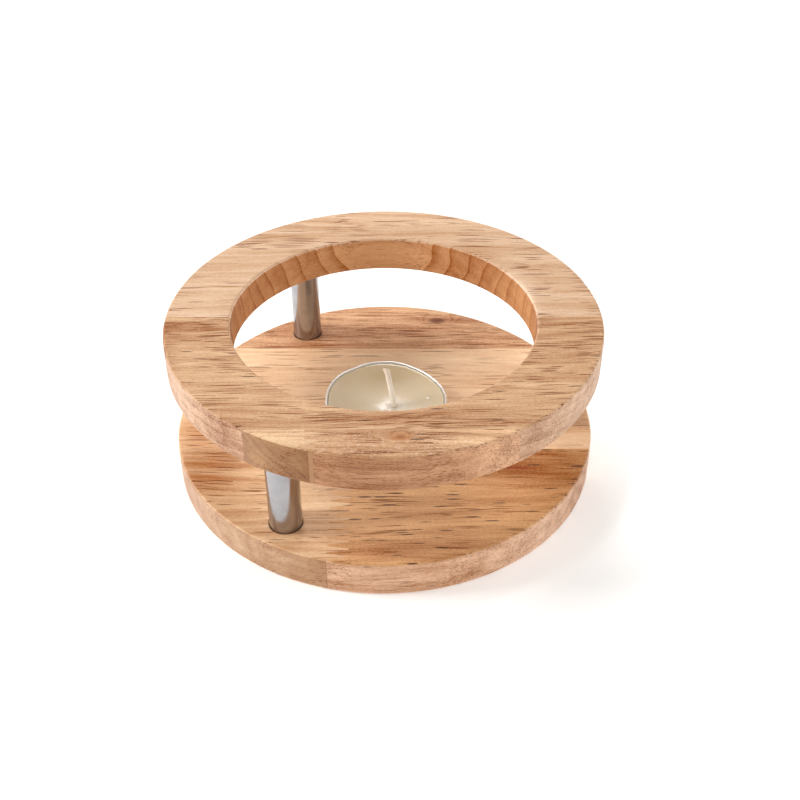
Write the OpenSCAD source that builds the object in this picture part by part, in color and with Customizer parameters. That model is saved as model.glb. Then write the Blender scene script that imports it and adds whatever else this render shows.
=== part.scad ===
// Teapot warmer: a round wooden base and a wooden ring, held apart by three steel posts,
// with a tealight standing in a recess in the base.
// Z is up, the origin is the middle of the base's underside and -Y is the front.
// Both boards are sawn from panels of edge-glued staves whose grain runs along X.

/* [Boards] */
// Diameter of the base and of the ring
board_d = 130; // [105:1:160]
// Thickness of each board
board_t = 11.5; // [9:0.5:16]
// Diameter of the opening in the ring
opening_d = 91; // [60:1:102]
// Radius that eases the boards' edges
edge_r = 0.8; // [0.3:0.1:1.5]

/* [Staves] */
// Glue line between the front and the middle stave of the base, from the centre
base_front_glue_y = -15.6; // [-24:0.1:-4]
// How far the back stave of the base reaches in from the rim
base_back_stave = 27; // [12:0.5:32]
// Glue line between the two halves of the ring, from the centre
ring_glue_y = -1; // [-10:0.5:10]
// How far the front strip of the ring reaches in from the rim
ring_front_strip = 11.2; // [6:0.1:15]
// How far the back strip of the ring reaches in from the rim
ring_back_strip = 11; // [6:0.5:15]

/* [Finger joints] */
// Length of a finger
finger_len = 6.1; // [3:0.1:9]
// Distance from one finger to the next
finger_pitch = 3.05; // [2.4:0.05:5]
// Width of a finger's blunt tip
finger_tip = 0.5; // [0.3:0.05:0.9]
// Distance of the first fingertip from the front of the rim
finger_start = 3.2; // [2:0.1:5]
// Root line of the joint in the base's front stave, from the centre
base_finger_x = -15.5; // [-20:0.5:10]
// Root line of the joint in the ring's front strip, from the centre
ring_finger_x = -20; // [-24:0.5:14]

/* [Posts] */
// Clear height between the base and the ring
gap_h = 27.2; // [22:0.1:45]
// Diameter of a post
post_d = 9.5; // [6:0.1:12]
// Wall of the post's tube
post_wall = 1; // [0.6:0.1:2]
// Chamfer that breaks the tube's ends
post_chamfer = 0.3; // [0.1:0.05:0.5]
// Depth of the socket that takes each end of a post
socket_depth = 4; // [2:0.25:7]
// Radial clearance of a post in its socket
socket_clearance = 0.08; // [0.02:0.01:0.3]
// Chamfer that breaks a socket's edge
socket_chamfer = 0.3; // [0.1:0.05:0.6]

/* [Tealight] */
// Height of the tealight's cup
cup_h = 15; // [11:0.5:20]
// Diameter of the cup's mouth, under its rolled rim
cup_d = 37.4; // [31:0.1:45]
// How much narrower the cup is at its floor
cup_taper = 1; // [0:0.1:3]
// Width of the ring that the cup stands on
foot_w = 2.4; // [1.6:0.1:5]
// How far the middle of the cup's floor is pressed up
floor_lift = 0.6; // [0.2:0.1:1]
// Thickness of the cup's sheet
cup_sheet = 0.3; // [0.2:0.05:0.5]
// Radius of the cup's rolled rim
rim_r = 0.5; // [0.35:0.05:0.8]
// Radius of the bend between the cup's floor and its wall
cup_bend_r = 1.4; // [0.8:0.1:3]
// Radial clearance of the cup's rim in the base's recess
recess_clearance = 0.8; // [0.4:0.1:2]
// Depth of the recess in the base
recess_depth = 6.5; // [3:0.25:8]
// Where the loose cup stands in its recess, to the right of the centre
cup_x = 0.4; // [-0.6:0.1:0.6]
// Where it stands, behind the centre
cup_y = -0.2; // [-0.6:0.1:0.6]

/* [Wax and wick] */
// Depth of the wax surface below the cup's rim
wax_drop = 1; // [0.8:0.1:4]
// Radius of the hollow where the wax climbs the cup's wall
meniscus_r = 0.7; // [0.4:0.1:0.8]
// Gap between the wax and what it is cast around
wax_clearance = 0.05; // [0.02:0.01:0.1]
// Height of the mound of wax round the wick
mound_h = 0.6; // [0.3:0.1:1.2]
// Radius of that mound
mound_r = 5; // [2.5:0.25:8]
// Place of the wick in the cup, to the right of the centre
wick_x = 2.5; // [-5:0.5:5]
// Place of the wick in the cup, behind the centre
wick_y = -4; // [-5:0.1:5]
// Diameter of the wick
wick_d = 2; // [1:0.1:2.4]
// Length of the straight stretch of wick above the wax
wick_free = 7.5; // [4:0.5:12]
// Length of the burnt end above the hook
wick_end = 1.5; // [0.5:0.25:3]
// Angle that the wick leans over
wick_lean = 30; // [5:1:40]
// Direction it leans in, from +X towards +Y
wick_turn = 114; // [0:1:359]
// Further angle of the hook at the burnt end
wick_hook = 12; // [5:1:60]
// Radius of both bends in the wick
wick_bend_r = 4; // [2.5:0.25:8]
// Diameter of the tin disc that carries the wick
holder_d = 12; // [8:0.5:16]
// Thickness of that disc
holder_sheet = 0.3; // [0.2:0.05:0.5]
// Height of the crimped neck on the disc
neck_h = 3.5; // [2:0.25:6]

/* [Hidden] */
$fn = 96;
// Overlap that lets a cut run past the face it opens
eps = 1;
board_r = board_d / 2;
opening_r = opening_d / 2;
ring_z = board_t + gap_h;
// The posts stand on the middle of the ring's band
pitch_r = (board_r + opening_r) / 2;
post_len = gap_h + 2 * socket_depth;
post_z = board_t - socket_depth;
socket_r = post_d / 2 + socket_clearance;
base_back_glue_y = board_r - base_back_stave;
ring_front_glue_y = ring_front_strip - board_r;
ring_back_glue_y = board_r - ring_back_strip;
finger_first_y = finger_start - board_r;
finger_count = ceil(board_d / finger_pitch);
recess_r = cup_d / 2 + rim_r + recess_clearance;
cup_z = board_t - recess_depth;
wax_z = cup_h - wax_drop;
neck_r = wick_d / 2 + holder_sheet;
holder_z = floor_lift + cup_sheet;
wick_foot_z = holder_z + holder_sheet;
wick_upright = wax_z + mound_h - wick_foot_z;
// Facets of each bend in the wick and of its round section
bend_steps = 4;
cord_sides = 12;

wood_light = "#dcb285";
wood_mid = "#cf9f70";
wood_dark = "#c28f60";
steel = "#c9c7c3";
foil = "#d5d6d4";
wax_white = "#ddd8c4";
cotton = "#cbb59a";
tinplate = "#b4b2ac";

// Section of a board from radius r0 out to the rim, with its outer corners eased
module eased_section(r0, r1, h, inner) {
    inset = inner ? edge_r : 0;
    translate([r0 + inset, 0])
        square([r1 - edge_r - r0 - inset, h]);
    translate([r0, edge_r])
        square([r1 - r0, h - 2 * edge_r]);
    for (z = [edge_r, h - edge_r]) {
        translate([r1 - edge_r, z])
            circle(r = edge_r);
        if (inner)
            translate([r0 + edge_r, z])
                circle(r = edge_r);
    }
}

// What is cut away to ease the lip of a round recess whose mouth is at height 0
module eased_lip(r) {
    rotate_extrude()
        difference() {
            translate([r, -edge_r])
                square([edge_r, edge_r]);
            translate([r + edge_r, -edge_r])
                circle(r = edge_r);
        }
}

// The blind sockets for the three posts, cut downwards from a face at height 0
module sockets() {
    for (a = [0, 120, 240])
        rotate([0, 0, a])
            translate([pitch_r, 0, 0]) {
                translate([0, 0, -socket_depth])
                    cylinder(r = socket_r, h = socket_depth + eps);
                translate([0, 0, -socket_chamfer])
                    cylinder(r1 = socket_r, r2 = socket_r + socket_chamfer, h = socket_chamfer);
            }
}

// The whole base board, before it is divided into its staves
module base_board() {
    difference() {
        rotate_extrude()
            eased_section(0, board_r, board_t, false);
        translate([0, 0, cup_z])
            cylinder(r = recess_r, h = recess_depth + eps);
        translate([0, 0, board_t])
            eased_lip(recess_r);
        translate([0, 0, board_t])
            sockets();
    }
}

// The whole ring, before it is divided into its staves
module ring_board() {
    difference() {
        translate([0, 0, ring_z])
            rotate_extrude()
                eased_section(opening_r, board_r, board_t, true);
        translate([0, 0, ring_z])
            mirror([0, 0, 1])
                sockets();
    }
}

// The stretch of a panel between two glue lines, at any height
module stave(y0, y1) {
    translate([-board_d, y0, -eps])
        cube([2 * board_d, y1 - y0, ring_z + board_t + 2 * eps]);
}

// Everything to the left of a finger joint whose roots lie at x = root
module left_of_fingers(root) {
    tip = root + finger_len;
    half_foot = (finger_pitch - finger_tip) / 2;
    fingers = [
        for (k = [0 : finger_count])
            let (y = finger_first_y + k * finger_pitch)
                each [
                    [root, y - half_foot],
                    [tip, y - finger_tip / 2],
                    [tip, y + finger_tip / 2],
                    [root, y + half_foot]
                ]
    ];
    outline = concat([[-board_d, -board_d], [root, -board_d]], fingers, [[root, board_d * 2], [-board_d, board_d * 2]]);
    translate([0, 0, -eps])
        linear_extrude(ring_z + board_t + 2 * eps)
            polygon(outline);
}

module base_stave_back() {
    color(wood_dark)
        intersection() {
            base_board();
            stave(base_back_glue_y, board_d);
        }
}

module base_stave_middle() {
    color(wood_light)
        intersection() {
            base_board();
            stave(base_front_glue_y, base_back_glue_y);
        }
}

module base_stave_front() {
    intersection() {
        base_board();
        stave(-board_d, base_front_glue_y);
    }
}

module base_stave_front_left() {
    color(wood_light)
        intersection() {
            base_stave_front();
            left_of_fingers(base_finger_x);
        }
}

module base_stave_front_right() {
    color(wood_mid)
        difference() {
            base_stave_front();
            left_of_fingers(base_finger_x);
        }
}

module ring_strip_back() {
    color(wood_mid)
        intersection() {
            ring_board();
            stave(ring_back_glue_y, board_d);
        }
}

module ring_half_back() {
    color(wood_light)
        intersection() {
            ring_board();
            stave(ring_glue_y, ring_back_glue_y);
        }
}

module ring_half_front() {
    color(wood_mid)
        intersection() {
            ring_board();
            stave(ring_front_glue_y, ring_glue_y);
        }
}

module ring_strip_front() {
    intersection() {
        ring_board();
        stave(-board_d, ring_front_glue_y);
    }
}

module ring_strip_front_left() {
    color(wood_dark)
        intersection() {
            ring_strip_front();
            left_of_fingers(ring_finger_x);
        }
}

module ring_strip_front_right() {
    color(wood_mid)
        difference() {
            ring_strip_front();
            left_of_fingers(ring_finger_x);
        }
}

// A post at azimuth a: a steel tube with chamfered ends, standing on the floor of its socket
module post(a) {
    r = post_d / 2;
    section = [
        [r - post_wall, 0],
        [r - post_chamfer, 0],
        [r, post_chamfer],
        [r, post_len - post_chamfer],
        [r - post_chamfer, post_len],
        [r - post_wall, post_len]
    ];
    color(steel)
        rotate([0, 0, a])
            translate([pitch_r, 0, post_z])
                rotate_extrude()
                    polygon(section);
}

module post_right() {
    post(0);
}

module post_back_left() {
    post(120);
}

module post_front_left() {
    post(240);
}

// Radius of the cup's wall at a height, inset by a thickness
function wall_r(z, inset) = (cup_d - cup_taper + cup_taper * z / cup_h) / 2 - inset;

// Section of the tapered cup up to a height, inset by the thickness of its sheet to give its inside
module cup_section(inset, top) {
    bend = cup_bend_r - inset;
    bend_x = wall_r(0, 0) - cup_bend_r;
    step_x = wall_r(0, 0) - foot_w - floor_lift - inset * tan(22.5);
    corner = [for (a = [-90 : 15 : 0]) [bend_x + bend * cos(a), cup_bend_r + bend * sin(a)]];
    pressed_floor = [[0, floor_lift + inset], [step_x, floor_lift + inset], [step_x + floor_lift, inset]];
    polygon(concat(pressed_floor, corner, [[wall_r(top, inset), top], [0, top]]));
}

module tealight_cup() {
    color(foil)
        translate([cup_x, cup_y, cup_z])
            union() {
                difference() {
                    rotate_extrude()
                        cup_section(0, cup_h - rim_r);
                    rotate_extrude()
                        cup_section(cup_sheet, cup_h + eps);
                }
                translate([0, 0, cup_h - rim_r])
                    rotate_extrude()
                        translate([cup_d / 2, 0])
                            rolled_rim_section();
            }
}

// The rim curls outwards over half a turn
module rolled_rim_section() {
    difference() {
        circle(r = rim_r);
        circle(r = rim_r - cup_sheet);
        translate([-2 * rim_r - cup_sheet, -rim_r])
            square([2 * rim_r, 2 * rim_r]);
    }
}

// Moves along the wick, each a length and an angle from upright: straight, lean, straight, hook, end
function bend_moves(from, angle) = [
    for (i = [1 : bend_steps])
        [wick_bend_r * angle * PI / 180 / bend_steps, from + angle * (i - 0.5) / bend_steps]
];
wick_moves = concat(
    [[wick_upright, 0]],
    bend_moves(0, wick_lean),
    [[wick_free, wick_lean]],
    bend_moves(wick_lean, wick_hook),
    [[wick_end, wick_lean + wick_hook]]
);

// A round cord swept along the moves in the XZ plane, from the origin up
module swept_cord(moves, d) {
    last = len(moves);
    path = [
        for (i = 0, p = [0, 0]; i <= last; p = p + (i < last ? step(moves[i]) : [0, 0]), i = i + 1) p
    ];
    rings = [
        for (i = [0 : last])
            let (tilt = (moves[max(i - 1, 0)][1] + moves[min(i, last - 1)][1]) / 2)
                for (k = [0 : cord_sides - 1])
                    let (a = 360 * k / cord_sides, u = d / 2 * cos(a))
                        [path[i].x + u * cos(tilt), d / 2 * sin(a), path[i].y - u * sin(tilt)]
    ];
    skin = [
        for (i = [0 : last - 1])
            for (k = [0 : cord_sides - 1])
                let (a = i * cord_sides + k, b = i * cord_sides + (k + 1) % cord_sides)
                    each [[a, a + cord_sides, b], [b, a + cord_sides, b + cord_sides]]
    ];
    foot = [for (k = [0 : cord_sides - 1]) k];
    tip = [for (k = [cord_sides - 1 : -1 : 0]) last * cord_sides + k];
    polyhedron(points = rings, faces = concat([foot], skin, [tip]));
}

function step(move) = move[0] * [sin(move[1]), cos(move[1])];

// The wick's tin disc and crimped neck, grown by a clearance
module holder_blank(grow) {
    translate([wick_x, wick_y, holder_z]) {
        cylinder(d = holder_d + 2 * grow, h = holder_sheet + grow);
        cylinder(r = neck_r + grow, h = holder_sheet + neck_h + grow);
    }
}

// Section of the wax: it fills the cup to its surface and climbs the wall in a small hollow
module wax_section() {
    inset = cup_sheet + wax_clearance;
    top = wax_z + meniscus_r;
    hollow_x = wall_r(top, inset) - meniscus_r;
    difference() {
        cup_section(inset, top);
        translate([0, wax_z])
            square([hollow_x, 2 * meniscus_r]);
        translate([hollow_x, top])
            circle(r = meniscus_r);
    }
}

module tealight_wax() {
    color(wax_white)
        translate([cup_x, cup_y, cup_z])
            difference() {
                union() {
                    rotate_extrude()
                        wax_section();
                    translate([wick_x, wick_y, wax_z])
                        cylinder(r1 = mound_r, r2 = wick_d, h = mound_h);
                }
                translate([wick_x, wick_y, 0])
                    cylinder(r = wick_d / 2 + wax_clearance, h = cup_h);
                holder_blank(wax_clearance);
            }
}

module wick_holder() {
    color(tinplate)
        translate([cup_x, cup_y, cup_z])
            difference() {
                holder_blank(0);
                translate([wick_x, wick_y, wick_foot_z])
                    cylinder(d = wick_d, h = neck_h + eps);
            }
}

module wick() {
    color(cotton)
        translate([cup_x + wick_x, cup_y + wick_y, cup_z + wick_foot_z])
            rotate([0, 0, wick_turn])
                swept_cord(wick_moves, wick_d);
}

base_stave_back();
base_stave_middle();
base_stave_front_left();
base_stave_front_right();
ring_strip_back();
ring_half_back();
ring_half_front();
ring_strip_front_left();
ring_strip_front_right();
post_front_left();
post_back_left();
post_right();
tealight_cup();
tealight_wax();
wick_holder();
wick();
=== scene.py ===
# %% [markdown]
# A teapot warmer in rubberwood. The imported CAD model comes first, as a fixed frame: two round boards of
# edge-glued staves, three steel posts and a tealight. Everything after it gives those pieces their looks,
# and nothing moves or resizes them.

# %% Load the frame
import math
from dataclasses import dataclass

import bpy
from mathutils import Matrix, Vector, noise


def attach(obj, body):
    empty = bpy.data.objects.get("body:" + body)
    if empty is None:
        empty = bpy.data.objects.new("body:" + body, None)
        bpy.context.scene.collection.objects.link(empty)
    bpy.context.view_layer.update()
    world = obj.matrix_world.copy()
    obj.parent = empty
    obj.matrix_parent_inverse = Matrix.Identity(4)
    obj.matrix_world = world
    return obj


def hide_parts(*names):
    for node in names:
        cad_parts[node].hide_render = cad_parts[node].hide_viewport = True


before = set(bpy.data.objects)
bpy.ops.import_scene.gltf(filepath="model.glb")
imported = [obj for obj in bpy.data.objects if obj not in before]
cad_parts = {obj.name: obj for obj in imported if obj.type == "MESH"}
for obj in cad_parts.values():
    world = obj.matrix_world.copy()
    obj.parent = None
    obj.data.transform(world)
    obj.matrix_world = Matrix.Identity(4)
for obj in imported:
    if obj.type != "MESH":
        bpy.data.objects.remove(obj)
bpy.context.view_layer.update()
MM = 0.001
print("pieces in the frame:", sorted(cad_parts))

# %% [markdown]
# Colours are written the way a colour picker shows them, as sRGB hex. A shader works in linear light, so
# one function converts them. A second one adds a shader node: it sets the node's options, then fills each
# input with a value or with a link from another node. Every material below is built from these two.

# %% Helpers for materials
def linear(hex_colour):
    """An sRGB hex colour as linear RGBA."""
    channels = [int(hex_colour[i:i + 2], 16) / 255 for i in (1, 3, 5)]
    return (*[c / 12.92 if c <= 0.04045 else ((c + 0.055) / 1.055) ** 2.4 for c in channels], 1.0)


def add(tree, kind, inputs=None, **settings):
    """Adds a node with its settings, and fills its inputs with values or links. Gives its outputs."""
    made = tree.nodes.new(kind)
    for name, value in settings.items():
        setattr(made, name, value)
    for socket, value in (inputs or {}).items():
        if isinstance(value, bpy.types.NodeSocket):
            tree.links.new(value, made.inputs[socket])
        else:
            made.inputs[socket].default_value = value
    return made.outputs


def new_material(name):
    """An empty material, its node tree, and the place on the object in millimetres."""
    material = bpy.data.materials.new(name)
    material.use_nodes = True
    tree = material.node_tree
    tree.nodes.remove(tree.nodes["Principled BSDF"])
    metres = add(tree, "ShaderNodeTexCoord")["Object"]
    place = add(tree, "ShaderNodeVectorMath", {0: metres, "Scale": 1 / MM}, operation="SCALE")[0]
    return material, tree, place


print("mid grey #808080 is", round(linear("#808080")[0], 3), "in linear light")

# %% [markdown]
# The camera stands where the photographer's did. Its place was worked out from the outlines of the two
# boards: about 370 mm away, 40 degrees above the table, with a lens a little longer than normal. The stand
# is turned one degree from square to it, which shows in its posts and glue lines.

# %% Camera
PHOTO_PIXELS = 800
FOCAL_PIXELS = 1143.3
SENSOR = 36.0
CAMERA_TURN = Matrix.Rotation(math.radians(1.0), 3, "Z")
CAMERA_PLACE = Vector((0, -284.45, 237.83))
AIM = Vector((4.805, 0, 18.366))

camera_data = bpy.data.cameras.new("camera")
camera_data.sensor_width = SENSOR
camera_data.lens = SENSOR * FOCAL_PIXELS / PHOTO_PIXELS
camera_data.clip_start = 1 * MM
camera = bpy.data.objects.new("camera", camera_data)
camera.location = CAMERA_TURN @ CAMERA_PLACE * MM
camera.rotation_euler = (CAMERA_TURN @ (AIM - CAMERA_PLACE)).to_track_quat("-Z", "Y").to_euler()
bpy.context.scene.collection.objects.link(camera)
bpy.context.scene.camera = camera
print("lens", round(camera_data.lens, 1), "mm at", [round(c / MM) for c in camera.location], "mm")

# %% [markdown]
# Rubberwood is a pale tropical hardwood. Planed and oiled it is satin, straw to pinkish brown, with faint
# growth rings and many short dark lines along the grain: its vessels, cut open lengthwise. On the end of
# the grain the same vessels show as dots. A flat picture of grain can't do both, so the wood is drawn as a
# solid: every pattern is a function of the place inside the tree, stretched along the grain, and each face
# simply cuts through it. Each stave is drawn as if sawn from a log of its own, with its own pith, tones and
# marks.

# %% What differs from stave to stave
@dataclass
class Stave:
    """One glued stave. Places are in millimetres in the object's frame, and pith is where the log's centre
    lies. A knot has its place, size and heart's colour. A mark is a patch at x, y of some length and width
    that is darker or paler, and more or less full of vessels. Glue lines have a y, and seams on a wall an x,
    half width and colour."""
    light: str
    dark: str
    # The wall's tone is partly the grain's other cut and partly painted shade and light.
    wall: str
    pith: tuple
    seed: int
    yaw: float = 0.0
    ring: float = 5.0
    late: float = 0.5
    wall_late: float = 0.6
    bands: float = 2.2
    vessels: float = 0.5
    streaks: float = 0.0
    flecks: float = 0.0
    knot: tuple = None
    marks: tuple = ()
    glue: tuple = ()
    seams: tuple = ()


print("a stave has", len(Stave.__dataclass_fields__), "values of its own")

# %% [markdown]
# The base is glued from four staves, and the two in front meet end to end in a finger joint. One wood for
# all of them would hide the joints, so each stave has its own colours. They were set by comparing renders
# with the photograph.

# %% The base's staves
BASE_FRONT_GLUE, BASE_BACK_GLUE = -15.6, 38.0

STAVES = {
    "base_stave_back": Stave(
        "#eec398", "#b67a50", "#cf9f78", (13, -60), 3, yaw=1.0, ring=3.0, late=0.35, vessels=0.5,
        knot=(18, 55.2, 3.2, "#6e3518"),
        # The first mark is partly painted shadow of the back-left post, along the back of the base, and
        # partly darker wood.
        marks=((-20, 45, 25, 5, 0.25, 0.2), (35, 48, 16, 5, 0.1, 0.1), (18, 55, 10, 4, 0.35, 0.3)),
        glue=(BASE_BACK_GLUE,)),
    "base_stave_middle": Stave(
        # Its pale tones are partly the wood and partly painted light, lifting the part of the base that the
        # ring shades.
        "#fad9b3", "#e4b78d", "#f6dcc4", (-90, 30), 11, yaw=-0.6, ring=6, late=0.3, vessels=0.3,
        # Its marks at the left and right ends are partly painted shade under the ring and partly darker
        # wood.
        marks=((15, 30, 26, 6, -0.6, -0.2), (-38, 33, 20, 6, 0.2, 0.3), (-56, -8, 14, 10, 1.2, 0.1),
               (59, 4, 16, 22, 0.7, 0.1)),
        glue=(BASE_FRONT_GLUE, BASE_BACK_GLUE)),
    "base_stave_front_left": Stave(
        "#e6bf95", "#cb9a6f", "#b68b66", (-130, 20), 23, yaw=0.3, ring=4.4, late=0.5, wall_late=0.25,
        bands=3.0, vessels=0.3,
        # The mark at the left end is partly painted shade under the ring and partly darker wood.
        marks=((-17, -38, 14, 9, -0.4, -0.3), (-54, -24, 12, 10, 1.0, 0.1)),
        glue=(BASE_FRONT_GLUE,), seams=((-15.5, 0.14, "#8a5a38"),)),
    "base_stave_front_right": Stave(
        "#e1ad78", "#b27947", "#d2a381", (-30, -90), 37, yaw=-0.8, ring=5, late=0.4, wall_late=0.2,
        vessels=0.25, streaks=1.3,
        # The last mark, at the right end, is partly painted shade under the ring and partly darker wood.
        marks=((30, -22, 40, 5, 0.35, 0.0), (5, -58, 30, 5, 0.25, 0.0), (-5, -40, 20, 12, -0.3, 0.1),
               (46, -26, 22, 12, 0.85, 0.0)),
        glue=(BASE_FRONT_GLUE,)),
}
print(len(STAVES), "staves in the base")

# %% [markdown]
# The ring is cut from a panel of the same kind. Its two wide staves meet across the middle, and narrow
# strips of the next ones are left at the front and at the back. The front strip has a finger joint too,
# whose end shows as a pale seam on the wall.

# %% The ring's staves
RING_GLUE, RING_FRONT_GLUE, RING_BACK_GLUE = -1.0, -53.8, 54.0

STAVES.update({
    "ring_strip_back": Stave(
        "#e2be9c", "#c69872", "#d2a57d", (20, -10), 41, vessels=0.35, glue=(RING_BACK_GLUE,)),
    "ring_half_back": Stave(
        "#dcba9b", "#c1956e", "#d5ab87", (-103.4, 17), 53, yaw=-1.0, ring=4.2, late=0.4, wall_late=1.3,
        vessels=0.2,
        # The pale mark at (40, 6) is painted light on the inner wall at the right, with a painted highlight
        # along the inner rim; the one at (27, 36) is partly painted shade on that wall.
        marks=((-18, 53, 15, 3, 0.45, 0.2), (-50, 16, 7, 0.5, 0.9, 0.5), (-35, 42, 14, 6, 0.1, 0.5),
               (-56, 8, 10, 9, -0.3, -0.3), (52, 25, 10, 9, 0.1, 0.4), (40, 6, 4.5, 12, -2.2, 0.0),
               (27, 36, 9, 7, 0.4, 0.3)),
        glue=(RING_GLUE, RING_BACK_GLUE)),
    "ring_half_front": Stave(
        "#dbb38a", "#ab784e", "#bd906d", (-20, 150), 67, yaw=-2.4, ring=3.4, late=0.25, vessels=0.65,
        streaks=0.1,
        marks=((-43, -50, 12, 8, 0.3, 0.0), (53, -12, 10, 8, 0.25, 0.5), (0, -49.5, 42, 3.5, 0.4, 0.8),
               (-52, -33, 9, 7, -0.1, -0.2), (-54, -8, 14, 8, 0.25, 0.3), (45, -36, 14, 6, -0.1, 0.3),
               (-66, -26, 6, 16, 0.8, 0.0)),
        glue=(RING_FRONT_GLUE, RING_GLUE)),
    "ring_strip_front_left": Stave(
        "#d9b187", "#aa7953", "#8f6039", (-2, 12), 71, ring=2.6, late=0.8, vessels=0.6, flecks=0.35,
        marks=((-30, -57, 13, 4, -0.4, -0.3),),
        glue=(RING_FRONT_GLUE,),
        seams=((-18.0, 0.65, "#b98a62"), (-17.3, 0.12, "#7d4f30"), (-18.7, 0.12, "#8a5a38"))),
    "ring_strip_front_right": Stave(
        "#d6a97f", "#a57248", "#b5815b", (-130, 44), 83, yaw=0.6, wall_late=0.3, vessels=0.45, streaks=0.5,
        flecks=0.35,
        knot=(5.0, -56.7, 3.0, "#b47640"),
        marks=((5, -57, 10, 3.5, 0.3, 0.0), (32, -57, 16, 5, -0.6, 0.3), (-8, -66, 16, 4, 0.35, 0.3)),
        glue=(RING_FRONT_GLUE,)),
})
print(len(STAVES), "staves of rubberwood in all")

# %% [markdown]
# The grain runs along a stave, but nothing in a tree is straight: a slow noise pushes it sideways by up to
# a couple of millimetres. The seed takes each stave to a place of its own in the noise, so no two look
# alike. The patterns that follow are noises and cells stretched along this grain, with their sizes in
# millimetres.

# %% Grain
SEED_STEP = Vector((31, 17, 5))
WANDER_SIZE = (60, 16, 16)
WANDER = Vector((0, 5, 5))


def in_sizes(t, where, size):
    """A place counted in pattern sizes along the grain, across it and up."""
    return add(t, "ShaderNodeVectorMath", {0: where, 1: [1 / s for s in size]}, operation="MULTIPLY")[0]


def lay_grain(t, place, stave):
    """Three places for each point: in the log, in the stave's own noise, and along its wandering grain."""
    sawn = add(t, "ShaderNodeMapping", {"Vector": place, "Rotation": (0, 0, math.radians(stave.yaw))})[0]
    own = add(t, "ShaderNodeVectorMath", {0: sawn, 1: stave.seed * SEED_STEP}, operation="ADD")[0]
    slow = in_sizes(t, own, WANDER_SIZE)
    wander = add(t, "ShaderNodeTexNoise", {"Vector": slow, "Scale": 1, "Detail": 1})["Color"]
    wander = add(t, "ShaderNodeVectorMath", {0: wander, 1: WANDER, 2: -WANDER / 2},
                 operation="MULTIPLY_ADD")[0]
    log = add(t, "ShaderNodeVectorMath", {0: sawn, 1: wander}, operation="ADD")[0]
    grain = add(t, "ShaderNodeVectorMath", {0: own, 1: wander}, operation="ADD")[0]
    return log, own, grain


print("the grain wanders by up to", WANDER.y / 2, "mm")

# %% [markdown]
# A tree adds one ring a year round its pith. In each ring the wood darkens slowly outwards, then the next
# one starts pale. So the distance from the pith is counted in ring widths, and its fraction, cubed, is how
# late in the year the wood grew. Good years and bad ones make the widths uneven. A knot is the foot of a
# branch: the rings swell round it into an eye.

# %% Growth rings and knots
FADE = 0.37
YEARS_APART, UNEVEN = 0.6, 2.2
LATE_POWER, LATE_MEAN = 3.0, 0.25
KNOT_SQUEEZE, KNOT_SWELL = 0.6, 2.2


def soft_patch(t, place, x, y, length, width):
    """A patch that is 1 at x, y and fades to about a third at its length and width."""
    away = add(t, "ShaderNodeVectorMath", {0: place, 1: (1 / length, 1 / width, 0),
                                           2: (-x / length, -y / width, 0)}, operation="MULTIPLY_ADD")[0]
    squared = add(t, "ShaderNodeVectorMath", {0: away, 1: away}, operation="DOT_PRODUCT")["Value"]
    return add(t, "ShaderNodeMath", {0: FADE, 1: squared}, operation="POWER")[0]


def growth_rings(t, place, stave, log):
    """How late the wood grew, about a mean of 0, and the eye of the knot."""
    from_pith = add(t, "ShaderNodeVectorMath", {0: log, 1: (0, *stave.pith)}, operation="SUBTRACT")[0]
    from_pith = add(t, "ShaderNodeVectorMath", {0: from_pith, 1: (0, 1, 1)}, operation="MULTIPLY")[0]
    growth = add(t, "ShaderNodeVectorMath", {0: from_pith}, operation="LENGTH")["Value"]
    eye = 0.0
    if stave.knot:
        x, y, size, _ = stave.knot
        eye = soft_patch(t, place, x, y, size / KNOT_SQUEEZE, size)
        growth = add(t, "ShaderNodeMath", {0: eye, 1: KNOT_SWELL * size, 2: growth},
                     operation="MULTIPLY_ADD")[0]
    years = add(t, "ShaderNodeMath", {0: growth, 1: 1 / stave.ring}, operation="MULTIPLY")[0]
    weather = add(t, "ShaderNodeTexNoise", {"W": years, "Scale": YEARS_APART, "Detail": 1},
                  noise_dimensions="1D")["Fac"]
    years = add(t, "ShaderNodeMath", {0: weather, 1: UNEVEN, 2: years}, operation="MULTIPLY_ADD")[0]
    late = add(t, "ShaderNodeMath", {0: years}, operation="FRACT")[0]
    late = add(t, "ShaderNodeMath", {0: late, 1: LATE_POWER}, operation="POWER")[0]
    return add(t, "ShaderNodeMath", {0: late, 1: LATE_MEAN}, operation="SUBTRACT")[0], eye


widths = sorted(stave.ring for stave in STAVES.values())
print("growth rings", widths[0], "to", widths[-1], "mm wide")

# %% [markdown]
# The ground of the wood has bands a few millimetres wide, fibres about a third of a millimetre across, and
# short dashes of soft tissue between them. They add up, with the growth rings and the stave's own marks, to
# one tone, and the tone picks between the stave's two colours. It isn't clamped, so the odd dark line goes
# beyond the dark colour.

# %% Ground
BAND_SIZE, FIBRE_SIZE, DASH_SIZE = (45, 3.2, 3.2), (10, 0.36, 0.36), (0.9, 0.3, 0.3)
FIBRES, DASHES = 1.0, 1.1
MID_TONE = 0.5
WALL_CONTRAST = 1.1
# How far up a face looks, from 0 to 1, where the flat faces end and the walls begin.
FLAT_UNTIL, WALL_FROM = 0.75, 0.35


def wall_share(t, facing):
    """1 on the walls and 0 on the flat faces, with the eased edges between."""
    upward = add(t, "ShaderNodeSeparateXYZ", {0: facing})["Z"]
    upward = add(t, "ShaderNodeMath", {0: upward}, operation="ABSOLUTE")[0]
    return add(t, "ShaderNodeMapRange", {0: upward, 1: FLAT_UNTIL, 2: WALL_FROM, 3: 0, 4: 1},
               interpolation_type="SMOOTHSTEP")[0]


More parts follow.
